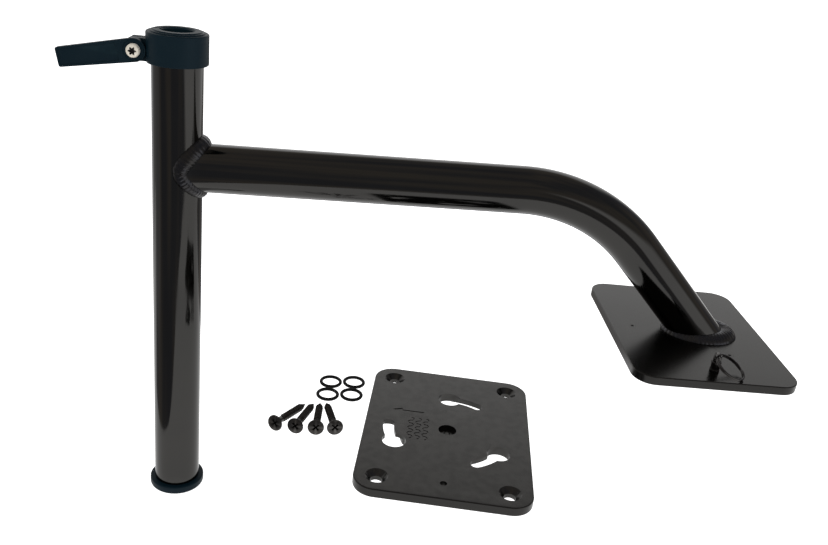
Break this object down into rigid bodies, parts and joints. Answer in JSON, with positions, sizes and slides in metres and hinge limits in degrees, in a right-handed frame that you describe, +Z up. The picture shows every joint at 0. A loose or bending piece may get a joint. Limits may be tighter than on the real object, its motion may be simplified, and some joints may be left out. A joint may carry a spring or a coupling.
{
  "type": "removable pole bracket",
  "caption": "Deck-edge bracket: clamped pole tube on a bent arm and twist-lock flange, with its keyhole deck plate, wood screws and O-rings laid beside it",
  "frame": {"origin": "centre of the flange plate's underside, where the bracket seats on its deck plate", "axes": "+X from the upright tube towards the flange, +Z up along the upright tube, -Y the side of the lock pin"},
  "size_m": [0.5813, 0.2523, 0.3985],
  "materials": {
    "polished_tube": "mirror polished, dark",
    "weld": "rippled bead",
    "plate": "satin charcoal",
    "stainless": "satin",
    "pin_metal": "dark polished",
    "moulding": "satin moulded",
    "bush": "smooth",
    "screw_metal": "dark, satin",
    "o_ring": "matt"
  },
  "bodies": {
    "bracket": {"upright_tube": "polished_tube", "arm_tube": "polished_tube", "upright_weld": "weld", "arm_foot_weld": "weld", "flange_plate": "plate", "twist_stud_1": "stainless", "twist_stud_2": "stainless", "twist_stud_3": "stainless", "lock_pin_barrel": "pin_metal", "lock_pin_spring": "stainless", "clamp_collar": "moulding", "clamp_screw": "stainless", "clamp_washer": "stainless", "clamp_nut": "stainless", "upper_bush": "bush", "foot_bush": "moulding"},
    "clamp_lever": {"clamp_lever": "moulding"},
    "lock_pin": {"lock_pin": "pin_metal"},
    "pull_ring": {"pull_ring": "pin_metal"},
    "fixings": {"deck_screw_1": "screw_metal", "deck_screw_2": "screw_metal", "deck_screw_3": "screw_metal", "deck_screw_4": "screw_metal", "o_ring_1": "o_ring", "o_ring_2": "o_ring", "o_ring_3": "o_ring", "o_ring_4": "o_ring"},
    "deck_plate": {"deck_plate": "plate"}
  },
  "joints": [
    {"name": "lever_swing", "type": "hinge", "parent": "bracket", "child": "clamp_lever", "pos_m": [-0.45929, 0, 0.1985], "axis": [0, -1, 0], "range_deg": [0, 78]},
    {"name": "lock_pin_pull", "type": "slide", "parent": "bracket", "child": "lock_pin", "axis": [0, 0, 1], "range_m": [0, 0.0042], "stiffness_N_per_m": 400, "springref_m": -0.004, "deforming": ["lock_pin_spring"]},
    {"name": "pull_ring_swing", "type": "hinge", "parent": "lock_pin", "child": "pull_ring", "pos_m": [0, -0.07, 0.0202], "axis": [-0.5664, -0.8241, 0], "range_deg": [0, 115]},
    {"name": "kit_carry", "type": "slide", "parent": "bracket", "child": "fixings", "axis": [0.9115, 0.3249, 0.2522], "range_m": [0, 0.22161]},
    {"name": "deck_twist", "type": "hinge", "parent": "fixings", "child": "deck_plate", "pos_m": [-0.202, -0.072, -0.064], "axis": [0, 0, 1], "range_deg": [-24, 6]}
  ]
}
